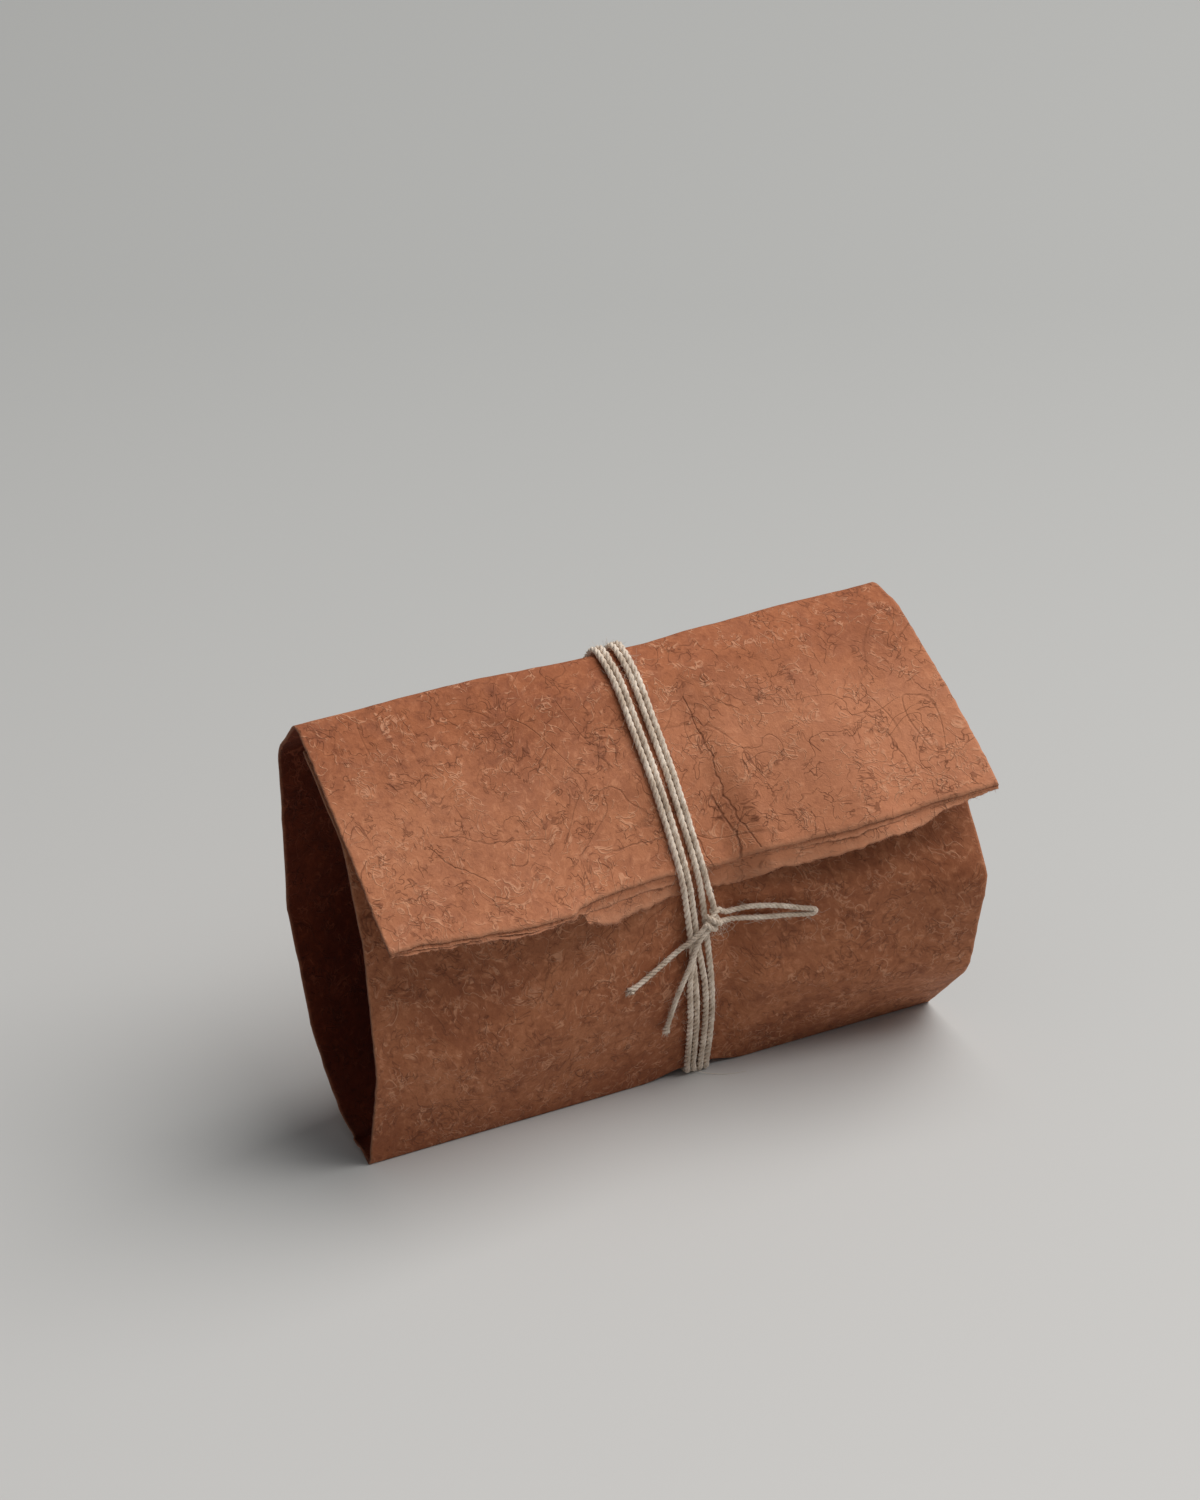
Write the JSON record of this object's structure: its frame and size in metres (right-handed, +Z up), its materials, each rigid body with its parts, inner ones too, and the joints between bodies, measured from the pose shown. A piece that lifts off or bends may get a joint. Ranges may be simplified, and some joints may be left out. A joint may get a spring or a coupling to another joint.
{
  "type": "paper wrapped parcel",
  "caption": "Thick fibrous paper sheet rolled into an open-ended tube with a torn flap folded over the front, bound round the middle with thin twine tied in a slipped bow",
  "frame": {"origin": "centre of the whole part's box at the floor it stands on", "axes": "+X along the tube towards its right end as seen from the flap's side, -Y is the side the flap hangs down, +Z up"},
  "size_m": [0.15, 0.0678, 0.0999],
  "materials": {
    "paper": "matte handmade paper, long fibres and flecks, torn deckle edge",
    "twine": "raw plied linen twine, loose hairs"
  },
  "bodies": {
    "root": {"paper_wrap": "paper", "twine": "twine"}
  },
  "joints": []
}
